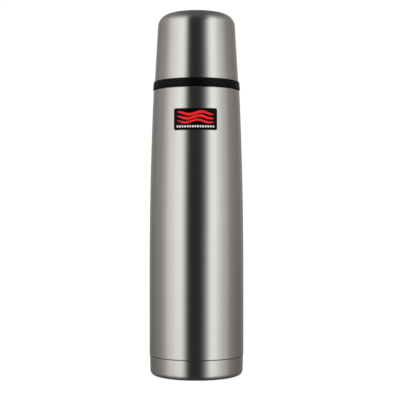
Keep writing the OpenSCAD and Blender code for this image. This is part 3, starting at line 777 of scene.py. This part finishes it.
stem = rounded([(0, 233), (2.75, 233, 0.3), (2.75, 272.3, 0.5), (0, 272.3)])
piece("stem_rod", lathe(stem, 64), "valve", ["valve_stem"], steel_inner)
plug = rounded(
    [
        (0, 232), (10.7, 232, 0.3), (11.5, 232.8, 0.5), (11.5, 234.7, 0.2), (5, 234.7, 0.4),
        (5, 240.5, 0.4), (2.77, 240.5, 0.2), (2.77, 233), (0, 233),
    ]
)
piece("plug_disc", lathe(plug, 144), "valve", ["valve_plug"], pale)
plug_ring = tube(9.4, 11.3, 234.7, 235.95, 0.35)
piece("plug_gasket", plug_ring, "valve", ["valve_gasket"], clear_rubber)


# ---- Release tabs ----
TAB_R, TAB_HALF, TAB_Z, TAB_TOP, TAB_EDGE = 27.4, 6.2, 269.3, 271.8, 0.35
FLANGE_X = 20.9
GROOVE = 0.35


def groove(y, z):
    """Depth of the five grip grooves in a tab's pad, 2 mm apart."""
    across = abs((y + 1) % 2 - 1)
    if abs(y) > 5 or across > GROOVE:
        return 0
    end = min(1, max(0, 0.9 - abs(z - (TAB_Z + TAB_TOP) / 2)) / 0.2)
    return GROOVE * math.cos(across / GROOVE * math.pi / 2) ** 0.5 * end


def release_tab(turn):
    """Curved grooved pad, a flange that stops it behind the head's wall, and a nose at the latch."""
    face = arc(TAB_EDGE, TAB_Z + TAB_EDGE, TAB_EDGE, 270, 180, 4)
    face += [(0, TAB_Z + 0.5 + 0.125 * k) for k in range(13)]
    face += arc(TAB_EDGE, TAB_TOP - TAB_EDGE, TAB_EDGE, 180, 90, 4)
    bm = bmesh.new()
    rings = []
    for inset, z in face:
        half = TAB_HALF - inset
        outline = [(FLANGE_X, -half)]
        for k in range(125):
            y = half * (k / 62 - 1)
            corner = TAB_EDGE - math.sqrt(TAB_EDGE**2 - max(0, abs(y) - half + TAB_EDGE) ** 2)
            outline.append((math.sqrt(TAB_R**2 - y * y) - inset - corner - groove(y, z), y))
        outline.append((FLANGE_X, half))
        rings.append([bm.verts.new((x * MM, y * MM, z * MM)) for x, y in outline])
    for low, high in zip(rings, rings[1:]):
        for k in range(len(low)):
            j = (k + 1) % len(low)
            bm.faces.new((low[k], low[j], high[j], high[k]))
    bm.faces.new(rings[0][::-1])
    bm.faces.new(rings[-1])
    bmesh.ops.recalc_face_normals(bm, faces=bm.faces)
    nose = block((14.9, -4, TAB_Z), (FLANGE_X + 1, 4, TAB_Z + 1.9), 0.3)
    flange = block((FLANGE_X - 0.05, -TAB_HALF - 2, TAB_Z), (22.4, TAB_HALF + 2, TAB_Z + 0.95), 0.2)
    return turned(joined(bm, nose, flange), turn)


piece("tab_right", release_tab(0), "release_right", ["release_tab_right"], grey)
piece("tab_left", release_tab(180), "release_left", ["release_tab_left"], grey)


# ---- Studio ----
FRONT = math.radians(1.2)
world = bpy.data.worlds.new("studio")
bpy.context.scene.world = world
world.use_nodes = True
tree = world.node_tree
tree.nodes.clear()

# The room's brightness by direction, in degrees from the front: two softboxes, and a dark gap between
AROUND = [
    (-180, 0.2), (-172, 0.32), (-152, 0.34), (-136, 0.26), (-113, 0.37), (-97, 0.4), (-83, 0.6),
    (-70, 0.95), (-58, 1.08), (-47, 1.3), (-36, 1.26), (-29, 0.72), (-23, 0.18), (-17, 0.03), (3, 0.03),
    (11, 0.06), (17, 0.19), (24, 0.56), (31, 1.18), (38, 1.42), (47, 1.3), (56, 1.0), (67, 0.78),
    (79, 0.64), (90, 0.38), (108, 0.32), (128, 0.27), (152, 0.34), (172, 0.32), (180, 0.2),
]
way = add(tree, "ShaderNodeTexCoord").outputs["Generated"]
parts = add(tree, "ShaderNodeSeparateXYZ", {0: way})
ahead = add(tree, "ShaderNodeMath", {0: parts.outputs["Y"], 1: -1}, operation="MULTIPLY").outputs[0]
turn = add(tree, "ShaderNodeMath", {0: parts.outputs["X"], 1: ahead}, operation="ARCTAN2").outputs[0]
turn = add(tree, "ShaderNodeMath", {0: turn, 1: FRONT}, operation="SUBTRACT").outputs[0]
height = parts.outputs["Z"]
right, left = ranged(tree, turn, 0, -14 / 360, 0, 0.35), ranged(tree, turn, 19 / 360, 0, -1.3, -0.8)
lean = add(tree, "ShaderNodeMath", {0: right, 1: left}, operation="ADD").outputs[0]
lean = ranged(tree, height, 0, lean, 0.12, 0.42)
spot = add(tree, "ShaderNodeMath", {0: turn, 1: 1 / TURN, 2: 0.5}, operation="MULTIPLY_ADD").outputs[0]
spot = add(tree, "ShaderNodeMath", {0: spot, 1: lean}, operation="ADD").outputs[0]
ramp = add(tree, "ShaderNodeValToRGB", {"Fac": spot})
ramp.color_ramp.interpolation = "LINEAR"
stops = ramp.color_ramp.elements
while len(stops) < len(AROUND):
    stops.new(0.5)
for stop, (angle, bright) in zip(stops, AROUND):
    stop.position = angle / 360 + 0.5
    warm = min(1, max(0, (1.2 - bright) / 0.9)) if bright > 0.1 else 0
    stop.color = (bright, bright * (1.01 - 0.064 * warm), bright * (1.005 - 0.105 * warm), 1)


def mixed(factor, one, other):
    """Socket that goes from one colour to the other; each is a socket or a grey level."""
    made = add(tree, "ShaderNodeMix", data_type="RGBA")
    tree.links.new(factor, made.inputs["Factor"])
    for place, value in ((6, one), (7, other)):
        if isinstance(value, bpy.types.NodeSocket):
            tree.links.new(value, made.inputs[place])
        else:
            made.inputs[place].default_value = (value, value * 0.99, value * 0.975, 1)
    return made.outputs[2]


seen = mixed(ranged(tree, height, 0, 1, 0.5, 0.85), ramp.outputs["Color"], 0.13)
behind = ranged(tree, ahead, 0.42, 0.07, -0.45, 0.26)
seen = mixed(ranged(tree, height, behind, 0, -0.17, 0.05), seen, 0.01)
seen = mixed(ranged(tree, height, 1, 0, -0.85, -0.2), seen, 0.05)
soft = mixed(ranged(tree, height, 0, 1, -0.4, 0.9), 0.5, 1.5)
ray = add(tree, "ShaderNodeLightPath")
seen = mixed(ray.outputs["Is Diffuse Ray"], seen, soft)
backdrop = mixed(ray.outputs["Is Camera Ray"], seen, 1.03)
glow = add(tree, "ShaderNodeBackground", {"Color": backdrop, "Strength": 1})
add(tree, "ShaderNodeOutputWorld", {"Surface": glow.outputs[0]})

floor_mesh = bpy.data.meshes.new("floor")
reach = 30
corners = [(-reach, -reach, 0), (reach, -reach, 0), (reach, reach, 0), (-reach, reach, 0)]
floor_mesh.from_pydata(corners, [], [(0, 1, 2, 3)])
floor = bpy.data.objects.new("floor", floor_mesh)
bpy.context.scene.collection.objects.link(floor)
floor_material, tree, shader = surface("floor_white")
shader.inputs["Base Color"].default_value = (0.85, 0.85, 0.85, 1)
shader.inputs["Roughness"].default_value = 0.9
shader.inputs["Specular IOR Level"].default_value = 0
shine = add(tree, "ShaderNodeEmission", {"Color": (1, 1, 1, 1), "Strength": 1.1})
ray = add(tree, "ShaderNodeLightPath")
share = add(tree, "ShaderNodeMath", {0: ray.outputs["Is Camera Ray"], 1: 0.8}, operation="MULTIPLY")
mix = add(tree, "ShaderNodeMixShader", {0: share.outputs[0], 1: shader.outputs[0], 2: shine.outputs[0]})
tree.links.new(mix.outputs[0], tree.nodes["Material Output"].inputs["Surface"])
floor_mesh.materials.append(floor_material)
floor.visible_glossy = False

camera = bpy.data.objects.new("camera", bpy.data.cameras.new("camera"))
bpy.context.scene.collection.objects.link(camera)
aside, away = 0.00305, 0.9
camera.location = (
    aside * math.cos(FRONT) + away * math.sin(FRONT),
    aside * math.sin(FRONT) - away * math.cos(FRONT),
    0.14,
)
camera.rotation_euler = (math.pi / 2, 0, FRONT)
camera.data.lens = 92.67
camera.data.shift_y = 0.03475
camera.data.sensor_width = 36
bpy.context.scene.camera = camera
bpy.context.scene.view_settings.view_transform = "Standard"
